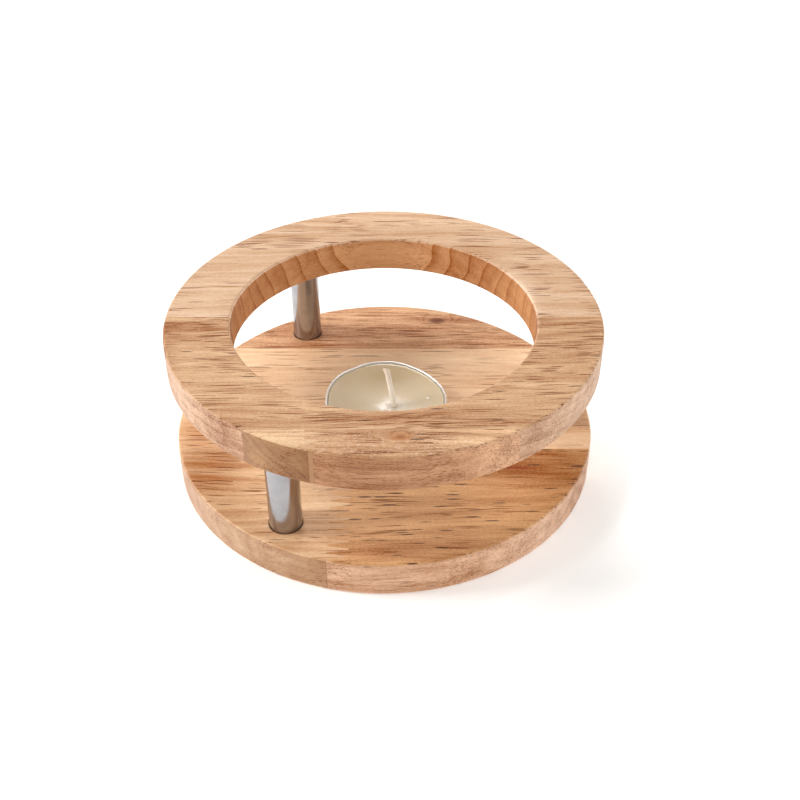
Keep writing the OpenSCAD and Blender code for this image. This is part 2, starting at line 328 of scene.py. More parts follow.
def ground_colour(t, stave, late, own, grain, on_wall, marked):
    """The colour of the wood before its dark lines, and the fibres in it."""
    share = add(t, "ShaderNodeMapRange", {0: on_wall, 3: stave.late, 4: stave.wall_late})[0]
    wide = in_sizes(t, grain, BAND_SIZE)
    bands = add(t, "ShaderNodeTexNoise", {"Vector": wide, "Scale": 1, "Detail": 3, "Roughness": 0.6})["Fac"]
    fine = in_sizes(t, grain, FIBRE_SIZE)
    fibres = add(t, "ShaderNodeTexNoise", {"Vector": fine, "Scale": 1, "Detail": 2, "Roughness": 0.7})["Fac"]
    short = in_sizes(t, own, DASH_SIZE)
    dashes = add(t, "ShaderNodeTexNoise", {"Vector": short, "Scale": 1, "Detail": 1})["Fac"]
    tone = marked
    for pattern, strength in ((late, share), (bands, stave.bands), (fibres, FIBRES), (dashes, DASHES)):
        tone = add(t, "ShaderNodeMath", {0: pattern, 1: strength, 2: tone}, operation="MULTIPLY_ADD")[0]
    # Each noise has a mean of a half.
    noises = (stave.bands + FIBRES + DASHES) / 2
    tone = add(t, "ShaderNodeMath", {0: tone, 1: noises}, operation="SUBTRACT")[0]
    contrast = add(t, "ShaderNodeMapRange", {0: on_wall, 3: 1.0, 4: WALL_CONTRAST})[0]
    tone = add(t, "ShaderNodeMath", {0: tone, 1: contrast, 2: MID_TONE}, operation="MULTIPLY_ADD")[0]
    colour = add(t, "ShaderNodeMix", {0: tone, 6: linear(stave.light), 7: linear(stave.dark)},
                 data_type="RGBA", clamp_factor=False)[2]
    return colour, fibres


print("fibres", FIBRE_SIZE[1], "mm across in bands of", BAND_SIZE[1], "mm")

# %% [markdown]
# The vessels are dark lines up to 15 mm long, gathered in drifts. A real one is about 0.2 mm wide, too fine
# to show, so they are drawn half as wide again. Each is one cell of a stretched Voronoi pattern, and the
# cell's random colour decides whether it has a vessel, and how dark. A noise could make lines too, but not
# ones with clean ends.

# %% Vessels
DRIFT_SIZE, VESSEL_CELL = (24, 6, 6), (18, 0.4, 0.4)
STROKE_EDGE, STROKE_CORE = 0.42, 0.3
DRIFT_PULL = 1.8
FEWEST, VESSEL_PULL, SOFT_CHOICE = 1.75, 0.75, 0.25


def vessel_lines(t, stave, drift, grain, crowd):
    """Where the open vessels are, from 0 to 1."""
    crowd = add(t, "ShaderNodeMath", {0: drift, 1: DRIFT_PULL, 2: crowd}, operation="MULTIPLY_ADD")[0]
    cells = add(t, "ShaderNodeTexVoronoi", {"Vector": in_sizes(t, grain, VESSEL_CELL), "Scale": 1})
    stroke = add(t, "ShaderNodeMapRange", {0: cells["Distance"], 1: STROKE_EDGE, 2: STROKE_CORE,
                                           3: 0, 4: 1})[0]
    chance = add(t, "ShaderNodeSeparateColor", {0: cells["Color"]})["Red"]
    chance = add(t, "ShaderNodeMath", {0: chance, 1: crowd}, operation="ADD")[0]
    start = FEWEST - stave.vessels * VESSEL_PULL
    chosen = add(t, "ShaderNodeMapRange", {0: chance, 1: start, 2: start + SOFT_CHOICE})[0]
    return add(t, "ShaderNodeMath", {0: stroke, 1: chosen}, operation="MULTIPLY")[0]


print("vessels up to", round(2 * STROKE_EDGE * VESSEL_CELL[0]), "mm long")

# %% [markdown]
# The walls show another cut of the grain, so each stave's wall has a tone of its own, and a multiplied tint
# gives it without touching the pattern. Those tones are partly painted shade and light as well: they darken
# walls that get less light and lift walls that get more. Where a wall crosses the grain, at the left and
# right ends, it is painted paler: painted light from the softboxes at the sides. The ring's inner wall is
# painted browner, as painted shade inside the hole, and more so where it faces the sides.

# %% Walls
# Painted light: walls that face the sides are mixed this far towards a pale colour.
SIDE_WALL_LIGHT_COLOUR, SIDE_WALL_LIGHT_SHARE = "#f6e4d2", 0.2
# Painted shade: the ring's inner wall is multiplied by the first, and where it faces the sides by the second
# too.
INNER_SHADE_TINT, INNER_END_SHADE_TINT = "#efd5b6", "#dccbb5"
END_FROM, END_FULL = 0.3, 1.0
# How far a face is from the middle along the way it looks, in millimetres: below zero if it looks inwards.
INNER_FROM, INNER_FULL = -25, -40


def wall_colour(t, stave, place, facing, on_wall, colour):
    """The wood's colour with the tones of its walls, with painted light and shade on them."""
    middle = [(pale + deep) / 2 for pale, deep in zip(linear(stave.light), linear(stave.dark))]
    tint = [wanted / mean for wanted, mean in zip(linear(stave.wall), middle)]
    colour = add(t, "ShaderNodeMix", {0: on_wall, 6: colour, 7: tint},
                 data_type="RGBA", blend_type="MULTIPLY")[2]
    end_on = add(t, "ShaderNodeSeparateXYZ", {0: facing})["X"]
    end_on = add(t, "ShaderNodeMath", {0: end_on}, operation="ABSOLUTE")[0]
    end_on = add(t, "ShaderNodeMapRange", {0: end_on, 1: END_FROM, 2: END_FULL})[0]
    inner = add(t, "ShaderNodeVectorMath", {0: place, 1: facing}, operation="DOT_PRODUCT")["Value"]
    inner = add(t, "ShaderNodeMapRange", {0: inner, 1: INNER_FROM, 2: INNER_FULL})[0]
    inner = add(t, "ShaderNodeMath", {0: inner, 1: on_wall}, operation="MULTIPLY")[0]
    inner_end = add(t, "ShaderNodeMath", {0: inner, 1: end_on}, operation="MULTIPLY")[0]
    painted_side_light = add(t, "ShaderNodeMapRange", {0: inner, 3: SIDE_WALL_LIGHT_SHARE, 4: 0.0})[0]
    painted_side_light = add(t, "ShaderNodeMath", {0: painted_side_light, 1: end_on}, operation="MULTIPLY")[0]
    colour = add(t, "ShaderNodeMix", {0: painted_side_light, 6: colour, 7: linear(SIDE_WALL_LIGHT_COLOUR)}, data_type="RGBA")[2]
    for share, shade in ((inner, INNER_SHADE_TINT), (inner_end, INNER_END_SHADE_TINT)):
        colour = add(t, "ShaderNodeMix", {0: share, 6: colour, 7: linear(shade)}, data_type="RGBA",
                     blend_type="MULTIPLY")[2]
    return colour


print("walls of", len({stave.wall for stave in STAVES.values()}), "tones")

# %% [markdown]
# Some staves have mineral streaks as well: short lines, few and almost black. They are cells of a stretched
# Voronoi pattern, as the vessels are, but wider ones. Cut across, on the walls, little of them is seen.

# %% Mineral streaks
STREAK_COLOUR, STREAK_CELL = "#3a1e0a", (9, 1, 1)
STREAK_EDGE, STREAK_CORE, STREAK_SHARE = 0.3, 0.18, 0.85
STREAK_CHANCE, STREAK_ON_WALL = 0.3, 0.4


def mineral_streaks(t, stave, grain, on_wall):
    """Where the streaks are."""
    cells = add(t, "ShaderNodeTexVoronoi", {"Vector": in_sizes(t, grain, STREAK_CELL), "Scale": 1})
    stroke = add(t, "ShaderNodeMapRange", {0: cells["Distance"], 1: STREAK_EDGE, 2: STREAK_CORE,
                                           3: 0, 4: STREAK_SHARE})[0]
    chance = add(t, "ShaderNodeSeparateColor", {0: cells["Color"]})["Green"]
    chosen = add(t, "ShaderNodeMath", {0: chance, 1: 1 - STREAK_CHANCE * stave.streaks},
                 operation="GREATER_THAN")[0]
    seen = add(t, "ShaderNodeMapRange", {0: on_wall, 3: 1.0, 4: STREAK_ON_WALL})[0]
    stroke = add(t, "ShaderNodeMath", {0: stroke, 1: chosen}, operation="MULTIPLY")[0]
    return add(t, "ShaderNodeMath", {0: stroke, 1: seen}, operation="MULTIPLY")[0]


print("streaks on", [name for name, stave in STAVES.items() if stave.streaks])

# %% [markdown]
# Where the saw ran along the wood's rays, they lie open as small bright flecks. They come in areas, so a
# fine noise makes the flecks, and the broad noise that gathers the vessels says where they may be.

# %% Ray flecks
FLECK_COLOUR, FLECK_SIZE = "#f4e0c8", (0.6, 0.4, 2)
RAY_FROM, RAY_FULL, AREA_FROM, AREA_FULL = 0.55, 0.7, 0.32, 0.58


def ray_flecks(t, stave, facing, own, drift, eye):
    """Where the flecks are, on the upper face only and not on a knot."""
    spots = in_sizes(t, own, FLECK_SIZE)
    rays = add(t, "ShaderNodeTexNoise", {"Vector": spots, "Scale": 1, "Detail": 1})["Fac"]
    flecks = add(t, "ShaderNodeMapRange", {0: rays, 1: RAY_FROM, 2: RAY_FULL, 4: stave.flecks})[0]
    area = add(t, "ShaderNodeMapRange", {0: drift, 1: AREA_FROM, 2: AREA_FULL},
               interpolation_type="SMOOTHSTEP")[0]
    upward = add(t, "ShaderNodeSeparateXYZ", {0: facing})["Z"]
    area = add(t, "ShaderNodeMath", {0: area, 1: upward}, operation="MULTIPLY", use_clamp=True)[0]
    off_knot = add(t, "ShaderNodeMath", {0: 1.0, 1: eye}, operation="SUBTRACT")[0]
    area = add(t, "ShaderNodeMath", {0: area, 1: off_knot}, operation="MULTIPLY")[0]
    return add(t, "ShaderNodeMath", {0: flecks, 1: area}, operation="MULTIPLY")[0]


print("flecks on", [name for name, stave in STAVES.items() if stave.flecks])

# %% [markdown]
# A stave's marks are soft patches, darker or paler than the rest and with more or fewer vessels. A few of
# them hold painted shade and painted light as well, where the ring or a post shades the wood and where a
# softbox lights it. A knot has a darker heart with a pupil in it. Both are put where the photograph has
# them, because a noise would put them anywhere.

# %% Marks and the hearts of knots
VESSEL_COLOUR = "#75380f"
HEART_FROM, HEART_FULL, HEART_SHARE = 0.6, 0.92, 0.8
PUPIL_FROM, PUPIL_FULL, PUPIL_SHARE = 0.9, 0.985, 0.5


def lay_marks(t, place, stave):
    """How much darker the marks make the wood, and how much fuller of vessels."""
    marked = 0.0
    crowd = 0.0
    for x, y, length, width, darker, fuller in stave.marks:
        patch = soft_patch(t, place, x, y, length, width)
        marked = add(t, "ShaderNodeMath", {0: patch, 1: darker, 2: marked}, operation="MULTIPLY_ADD")[0]
        crowd = add(t, "ShaderNodeMath", {0: patch, 1: fuller / 2, 2: crowd}, operation="MULTIPLY_ADD")[0]
    return marked, crowd


def knot_heart(t, stave, eye, colour):
    """The colour with the heart of the stave's knot in it."""
    heart = add(t, "ShaderNodeMapRange", {0: eye, 1: HEART_FROM, 2: HEART_FULL, 4: HEART_SHARE},
                interpolation_type="SMOOTHSTEP")[0]
    pupil = add(t, "ShaderNodeMapRange", {0: eye, 1: PUPIL_FROM, 2: PUPIL_FULL, 4: PUPIL_SHARE})[0]
    for share, shade in ((heart, stave.knot[-1]), (pupil, VESSEL_COLOUR)):
        colour = add(t, "ShaderNodeMix", {0: share, 6: colour, 7: linear(shade)}, data_type="RGBA")[2]
    return colour


print("knots on", [name for name, stave in STAVES.items() if stave.knot])

# %% [markdown]
# Last, the glue: a thin film on each glue line, and the blunt ends of the finger joints, where they reach a
# wall. They are the only straight lines in the wood, so each is drawn by how near its own line a place is.

# %% Glue
GLUE_COLOUR = "#7d5233"
FILM_HALF_WIDTH, FILM_SHARE, SEAM_SHARE = 0.12, 0.08, 0.7


def glue_films(t, stave, place, on_wall, colour):
    """The colour with the stave's glue on it."""
    axes = add(t, "ShaderNodeSeparateXYZ", {0: place})
    for y in stave.glue:
        film = add(t, "ShaderNodeMath", {0: axes["Y"], 1: y, 2: FILM_HALF_WIDTH}, operation="COMPARE")[0]
        film = add(t, "ShaderNodeMath", {0: film, 1: FILM_SHARE}, operation="MULTIPLY")[0]
        colour = add(t, "ShaderNodeMix", {0: film, 6: colour, 7: linear(GLUE_COLOUR)}, data_type="RGBA")[2]
    for x, half_width, shade in stave.seams:
        film = add(t, "ShaderNodeMath", {0: axes["X"], 1: x, 2: half_width}, operation="COMPARE")[0]
        film = add(t, "ShaderNodeMath", {0: film, 1: on_wall}, operation="MULTIPLY")[0]
        film = add(t, "ShaderNodeMath", {0: film, 1: SEAM_SHARE}, operation="MULTIPLY")[0]
        colour = add(t, "ShaderNodeMix", {0: film, 6: colour, 7: linear(shade)}, data_type="RGBA")[2]
    return colour


print("glue lines", 2 * FILM_HALF_WIDTH, "mm wide")

# %% [markdown]
# Now the wood is put together, one material for each stave. Oiled wood is satin, so its roughness is about
# a half. The open vessels are rougher and sunk a little, and the flecks are shinier.

# %% Rubberwood
VESSEL_ON_TOP, VESSEL_ON_WALL = 0.95, 0.55
SATIN, VESSEL_ROUGHER, FLECK_SHINIER = 0.5, 0.4, 0.3
PORE_DEPTH = 0.08


def rubberwood(name, stave):
    material, t, place = new_material("rubberwood_" + name)
    facing = add(t, "ShaderNodeNewGeometry")["Normal"]
    on_wall = wall_share(t, facing)
    log, own, grain = lay_grain(t, place, stave)
    late, eye = growth_rings(t, place, stave, log)
    broad = in_sizes(t, grain, DRIFT_SIZE)
    drift = add(t, "ShaderNodeTexNoise", {"Vector": broad, "Scale": 1, "Detail": 1})["Fac"]

    marked, crowd = lay_marks(t, place, stave)
    vessels = vessel_lines(t, stave, drift, grain, crowd)
    colour, fibres = ground_colour(t, stave, late, own, grain, on_wall, marked)
    colour = wall_colour(t, stave, place, facing, on_wall, colour)

    amount = add(t, "ShaderNodeMapRange", {0: on_wall, 3: VESSEL_ON_TOP, 4: VESSEL_ON_WALL})[0]
    amount = add(t, "ShaderNodeMath", {0: vessels, 1: amount}, operation="MULTIPLY")[0]
    colour = add(t, "ShaderNodeMix", {0: amount, 6: colour, 7: linear(VESSEL_COLOUR)}, data_type="RGBA")[2]
    if stave.streaks:
        streaks = mineral_streaks(t, stave, grain, on_wall)
        colour = add(t, "ShaderNodeMix", {0: streaks, 6: colour, 7: linear(STREAK_COLOUR)},
                     data_type="RGBA")[2]
    if stave.knot:
        colour = knot_heart(t, stave, eye, colour)
    roughness = add(t, "ShaderNodeMath", {0: vessels, 1: VESSEL_ROUGHER, 2: SATIN},
                    operation="MULTIPLY_ADD")[0]
    if stave.flecks:
        flecks = ray_flecks(t, stave, facing, own, drift, eye)
        colour = add(t, "ShaderNodeMix", {0: flecks, 6: colour, 7: linear(FLECK_COLOUR)},
                     data_type="RGBA")[2]
        roughness = add(t, "ShaderNodeMath", {0: flecks, 1: -FLECK_SHINIER, 2: roughness},
                        operation="MULTIPLY_ADD")[0]
    colour = glue_films(t, stave, place, on_wall, colour)

    height = add(t, "ShaderNodeMath", {0: vessels, 1: -1.0, 2: fibres}, operation="MULTIPLY_ADD")[0]
    bump = add(t, "ShaderNodeBump", {"Height": height, "Strength": 0.4, "Distance": PORE_DEPTH * MM})[0]
    shader = add(t, "ShaderNodeBsdfPrincipled", {"Base Color": colour, "Roughness": roughness, "IOR": 1.5,
                                                 "Specular IOR Level": 0.32, "Normal": bump})[0]
    t.links.new(shader, t.nodes["Material Output"].inputs["Surface"])
    return material


print("the wood's roughness is", SATIN, "and more in the vessels")

# %% [markdown]
# The boards keep their CAD shape. A piece that keeps it is dressed: its plain material is taken off, and
# the new one put on.

# %% Wood on the staves
def dress(name, material):
    """Gives a CAD node a material in place of its plain one."""
    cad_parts[name].data.materials.clear()
    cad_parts[name].data.materials.append(material)


for name, stave in STAVES.items():
    dress(name, rubberwood(name, stave))
print("wood on", ", ".join(STAVES))

# %% [markdown]
# The posts are polished stainless tube. Polishing leaves a mirror with a trace of fine lines round the
# tube, so the metal shows mostly what stands about it: the pale table in front and the wood on the other
# side. Handling dulls it in soft smears.

# %% Polished stainless steel
LINE_SIZE, LINE_DEPTH, SMEAR_SIZE = (6.7, 6.7, 0.25), 0.006, 3
STEEL_SHINIEST, STEEL_DULLEST = 0.12, 0.24
# Most values of a noise lie between these two.
NOISE_LOW, NOISE_HIGH = 0.3, 0.7


def polished_steel():
    material, t, place = new_material("polished_stainless_steel")
    turned = in_sizes(t, place, LINE_SIZE)
    lines = add(t, "ShaderNodeTexNoise", {"Vector": turned, "Scale": 1, "Detail": 3})["Fac"]
    smear = add(t, "ShaderNodeTexNoise", {"Vector": place, "Scale": 1 / SMEAR_SIZE, "Detail": 2})["Fac"]
    tint = add(t, "ShaderNodeMix", {0: smear, 6: linear("#b6b5b8"), 7: linear("#9e9da0")},
               data_type="RGBA")[2]
    roughness = add(t, "ShaderNodeMapRange", {0: smear, 1: NOISE_LOW, 2: NOISE_HIGH,
                                              3: STEEL_SHINIEST, 4: STEEL_DULLEST})[0]
    bump = add(t, "ShaderNodeBump", {"Height": lines, "Strength": 0.15, "Distance": LINE_DEPTH * MM})[0]
    shader = add(t, "ShaderNodeBsdfPrincipled", {"Base Color": tint, "Metallic": 1.0, "Roughness": roughness,
                                                 "Normal": bump})[0]
    t.links.new(shader, t.nodes["Material Output"].inputs["Surface"])
    return material


steel = polished_steel()
for name in ("post_front_left", "post_back_left", "post_right"):
    dress(name, steel)
print("steel on the posts")

# %% [markdown]
# The tealight's pieces are closed skins through rings of points, so one function makes them all. Each piece
# then takes its node's place in the frame: it rides on the tealight, and the plain solid is hidden.

# %% A skin through rings of points
def skin(name, rings, around=False):
    """A closed mesh through rings of points in millimetres, each joined to the next. The last ring joins the
    first if the skin goes around, and otherwise a face closes each end."""
    count = len(rings[0])
    faces = []
    for i in range(len(rings) if around else len(rings) - 1):
        here = i * count
        there = (i + 1) % len(rings) * count
        for k in range(count):
            after = (k + 1) % count
            faces.append((here + k, here + after, there + after, there + k))
    if not around:
        faces.append(tuple(reversed(range(count))))
        faces.append(tuple(range((len(rings) - 1) * count, len(rings) * count)))
    mesh = bpy.data.meshes.new(name)
    mesh.from_pydata([point * MM for ring in rings for point in ring], [], faces)
    mesh.shade_smooth()
    piece = bpy.data.objects.new(name, mesh)
    bpy.context.scene.collection.objects.link(piece)
    return piece


def stand_for(piece, node, material):
    """Puts a piece in a tealight node's place, with its finish."""
    piece.data.materials.append(material)
    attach(piece, "tealight")
    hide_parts(node)
    print(piece.name, "has", len(piece.data.polygons), "faces and stands for", node)


print("tealight nodes:", [name for name in sorted(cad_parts) if name.startswith(("tealight", "wick"))])

# %% [markdown]
# The tealight's cup is pressed from thin aluminium sheet, and its edge is rolled outwards. It is soft: this
# one is pushed in at the back right, and its rim is nowhere quite flat. A plain lathe would look machined.
# So the cup is still turned from one section, but its radius changes with the angle, more towards the rim.

# %% The cup's section and dents
CUP = Vector((0.4, -0.2, 5.0))
CUP_HEIGHT = 15.0
FOOT_RADIUS, TAPER = 18.2, 1 / 30
SHEET = 0.3
RIM_OUTSIDE, RIM = 19.2, 0.36
HEEL, HEEL_RADIUS = 16.8, 1.4
# Degrees round the cup, from its right side and anticlockwise, and how far the rim is out of round there.
DENTS = [(0, -0.2), (12, -0.5), (24, -0.9), (36, -1.1), (48, -1.15), (60, -0.95), (73, -0.4), (88, -0.05),
         (103, -0.05), (124, -0.3), (148, 0.0), (165, -0.2), (181, -0.3), (192, 0.0), (250, -0.1),
         (300, 0.0), (342, 0.05), (360, -0.2)]


def wall_radius(z):
    """The cup's outside radius at a height above its foot, before any dents."""
    return FOOT_RADIUS + z * TAPER


def pushed(angle, z):
    """How far the wall is pushed out at an angle and a height."""
    degrees = math.degrees(angle) % 360
    for (a, before), (b, after) in zip(DENTS, DENTS[1:]):
        if a <= degrees <= b:
            part = (degrees - a) / (b - a)
            part *= part * (3 - 2 * part)
            return (before + (after - before) * part) * (z / CUP_HEIGHT) ** 2


def arc(x, z, radius, start, stop, steps):
    """Points of an arc in a section, with its angles in degrees."""
    turns = [math.radians(start + (stop - start) * i / steps) for i in range(steps + 1)]
    return [(x + radius * math.cos(a), z + radius * math.sin(a)) for a in turns]


# Radius and height of each point: under the floor, round the heel, up the wall, over the rim, back inside.
cup_section = [(2, 0.6), (8, 0.6), (14, 0.6), (14.3, 0.45), (14.5, 0), (15.6, 0)]
cup_section += arc(HEEL, HEEL_RADIUS, HEEL_RADIUS, -90, -3, 8)
cup_section += [(wall_radius(z), z) for z in (3, 5, 7, 9, 11, 12.5, 13.6)]
cup_section += arc(RIM_OUTSIDE - RIM, CUP_HEIGHT - RIM, RIM, -75, 165, 16)
cup_section += [(wall_radius(z) - SHEET, z) for z in (13.6, 12, 9, 6, 3)]
cup_section += arc(HEEL, HEEL_RADIUS, HEEL_RADIUS - SHEET, 0, -90, 6)
cup_section += [(14.7, 0.3), (14.3, 0.75), (14, 0.9), (8, 0.9), (2, 0.9)]
print("the deepest dent is", -min(dent for _, dent in DENTS), "mm")

# %% [markdown]
# Now the section is turned, one ring for each of its points. A small noise crinkles the wall, and another
# one lets the rim waver up and down. The floor is stiffer than the wall, so less of it moves.

# %% The cup's skin
CUP_FACETS = 288
STIFF_RADIUS = 17
CRINKLE, CRINKLE_SIZE, CRINKLE_HEIGHT = 0.09, 4, 40
WAVER, WAVER_SIZE, WAVER_PLACE = 0.12, 6, Vector((7, 0, 0))
NEAR_RIM = 8

cup_rings = []
for radius, z in cup_section:
    up = z / CUP_HEIGHT
    ring = []
    for k in range(CUP_FACETS):
        angle = 2 * math.pi * k / CUP_FACETS
        outwards = Vector((math.cos(angle), math.sin(angle), 0))
        round_wall = outwards * wall_radius(z)
        crinkle = CRINKLE * up * noise.noise(round_wall / CRINKLE_SIZE + Vector((0, 0, z / CRINKLE_HEIGHT)))
        waver = WAVER * up ** NEAR_RIM * noise.noise(round_wall / WAVER_SIZE + WAVER_PLACE)
        out = radius + (pushed(angle, z) + crinkle) * min(1, radius / STIFF_RADIUS)
        ring.append(CUP + outwards * out + Vector((0, 0, z + waver)))
    cup_rings.append(ring)
cup = skin("pressed_cup", cup_rings)
print("the cup has", len(cup_rings), "rings of", CUP_FACETS, "points")

# %% [markdown]
# Bare aluminium has no coating. Rolling the sheet left very fine lines, and pressing and handling it
# clouded the shine unevenly. So it is a metal whose roughness varies in soft clouds, with a faint grain.

# %% Rolled aluminium
CLOUD_SIZE, ROLLING_SIZE, ROLLING_DEPTH = 2.5, (0.25, 3.3, 3.3), 0.02
SHEET_SHINIEST, SHEET_DULLEST = 0.3, 0.42


def rolled_aluminium():
    material, t, place = new_material("rolled_aluminium")
    cloud = add(t, "ShaderNodeTexNoise", {"Vector": place, "Scale": 1 / CLOUD_SIZE, "Detail": 3})["Fac"]
    rolled = in_sizes(t, place, ROLLING_SIZE)
    rolling = add(t, "ShaderNodeTexNoise", {"Vector": rolled, "Scale": 1, "Detail": 2})["Fac"]
    tint = add(t, "ShaderNodeMix", {0: cloud, 6: linear("#eceae6"), 7: linear("#d9d8d6")},
               data_type="RGBA")[2]
    roughness = add(t, "ShaderNodeMapRange", {0: cloud, 1: NOISE_LOW, 2: NOISE_HIGH,
                                              3: SHEET_SHINIEST, 4: SHEET_DULLEST})[0]
    bump = add(t, "ShaderNodeBump", {"Height": rolling, "Strength": 0.25, "Distance": ROLLING_DEPTH * MM})[0]
    shader = add(t, "ShaderNodeBsdfPrincipled", {"Base Color": tint, "Metallic": 1.0, "Roughness": roughness,
                                                 "Normal": bump})[0]
    t.links.new(shader, t.nodes["Material Output"].inputs["Surface"])
    return material


stand_for(cup, "tealight_cup", rolled_aluminium())

# %% [markdown]
# The wax was poured round the wick. As it set it shrank: it sank into a shallow bowl, clung to the cup's
# wall, and rose in a small hill at the wick. A disc would have none of that, so one function finds the
# dented wall in any direction from the wick, and another gives the height of the surface at any place.

# %% The wax's surface
WAX_TOP, BOWL_DEPTH, BOWL_RADIUS = 14.4, 0.5, 18.5
CLEARANCE, CRINKLE_ROOM = 0.05, 0.08
WICK = Vector((2.5, -4.0, 0))
WICK_RADIUS = 1.0
HOLE = WICK_RADIUS + CLEARANCE
HILL, HILL_LENGTH, HILL_WIDTH, HILL_HEIGHT = WICK + Vector((-0.7, 2.3, 0)), 4.2, 2.5, 0.9
PIP, PIP_SIZE, PIP_HEIGHT = Vector((13.3, 0.7, 0)), 0.45, 0.22
CLING, CLING_REACH, COLLAR, COLLAR_REACH = 0.08, 0.3, 0.3, 0.45
RIPPLE, WICK_RIPPLE, WICK_RIPPLE_REACH, RIPPLE_SIZE = 0.02, 0.1, 5.5, 2.6
FIRST_REACH, TRIES, TRY_SHARE = 18.0, 12, 0.9


def wall_distance(direction, z):
    """How far it is from the wick to the inside of the cup's wall in a direction, at a height."""
    reach = FIRST_REACH
    for _ in range(TRIES):
        spot = WICK + direction * reach
        angle = math.atan2(spot.y, spot.x)
        inside = wall_radius(z) + pushed(angle, z) - SHEET - CLEARANCE - CRINKLE_ROOM * z / CUP_HEIGHT
        reach += (inside - spot.length) * TRY_SHARE
    return reach


def wax_height(spot, to_wall):
    """The height of the wax at a place in the cup, given how far the wall is."""
    from_wick = (spot - WICK).length
    hill = spot - HILL
    hill_part = (hill.x / HILL_LENGTH) ** 2 + (hill.y / HILL_WIDTH) ** 2
    height = WAX_TOP - BOWL_DEPTH * (1 - (spot.length / BOWL_RADIUS) ** 2)
    height += CLING * math.exp(-to_wall / CLING_REACH)
    height += HILL_HEIGHT * math.exp(-hill_part) + COLLAR * math.exp(-(from_wick - HOLE) / COLLAR_REACH)
    height += PIP_HEIGHT * math.exp(-((spot - PIP).length / PIP_SIZE) ** 2)
    ripples = RIPPLE + WICK_RIPPLE * math.exp(-(from_wick / WICK_RIPPLE_REACH) ** 2)
    return height + ripples * noise.noise(spot / RIPPLE_SIZE)


print("the wax stands", WAX_TOP, "mm up the cup's wall")

# %% [markdown]
# The wax's skin is made of rings about the wick. They start at the cup's heel and go up the wall, in over
# the top to the wick, down the wick's own hole, over its tin foot and back along the floor to the heel.

# %% The wax's skin
WAX_FACETS, TOP_RINGS = 192, 72
WALL_HEIGHTS, FLOOR_INSET = (1.6, 3, 5, 7, 9, 11, 13), 1.0
NECK, NECK_TOP, DISC, DISC_TOP, FLOOR = 1.35, 4.75, 6.05, 1.25, 0.95
HOLE_SECTION = ((HOLE, 12), (HOLE, 8), (HOLE, NECK_TOP), (NECK, NECK_TOP), (NECK, DISC_TOP),
                (DISC, DISC_TOP), (DISC, FLOOR), (7.5, FLOOR))

directions = [2 * math.pi * k / WAX_FACETS for k in range(WAX_FACETS)]
directions = [Vector((math.cos(a), math.sin(a), 0)) for a in directions]
reaches = [wall_distance(d, WAX_TOP) for d in directions]
wax_rings = []
for z in WALL_HEIGHTS:
    wax_rings.append([WICK + d * wall_distance(d, z) + Vector((0, 0, z)) for d in directions])
for i in range(TOP_RINGS + 1):
    # Over the top, closer together near the wall and the wick, where the surface bends.
    part = 0.5 + 0.5 * math.cos(math.pi * i / TOP_RINGS)
    ring = []
    for d, reach in zip(directions, reaches):
        spot = WICK + d * (HOLE + (reach - HOLE) * part)
        ring.append(spot + Vector((0, 0, wax_height(spot, (reach - HOLE) * (1 - part)))))
    wax_rings.append(ring)
for radius, z in HOLE_SECTION:
    wax_rings.append([WICK + d * radius + Vector((0, 0, z)) for d in directions])
floor_reaches = [wall_distance(d, WALL_HEIGHTS[0]) - FLOOR_INSET for d in directions]
wax_rings.append([WICK + d * reach + Vector((0, 0, FLOOR)) for d, reach in zip(directions, floor_reaches)])
wax = skin("poured_wax", [[CUP + point for point in ring] for ring in wax_rings], around=True)
print("the wax has", len(wax_rings), "rings of", WAX_FACETS, "points")

# %% [markdown]
# Paraffin wax scatters light under its surface, so it looks milky and its shadows are soft. Poured and set,
# it is smooth and a little glossy, with a faint cloudy bloom. Two soft patches are laid over the clouds: a
# painted highlight, whiter round the wick, and painted shade, yellower and darker at the back.

# %% Paraffin wax
# Each patch has its place, length and width.
PAINTED_HIGHLIGHT_PATCH, PAINTED_SHADE_PATCH, PATCH_SHARE = (3.4, -3.0, 6, 5), (1.5, 13, 10, 8), 0.7
WAX_CLOUD_SIZE, BLOOM_SIZE, BLOOM_DEPTH = 7, 3, 0.1
BLOOM_LOW, BLOOM_HIGH, WAX_SHINIEST, WAX_DULLEST = 0.35, 0.65, 0.08, 0.18


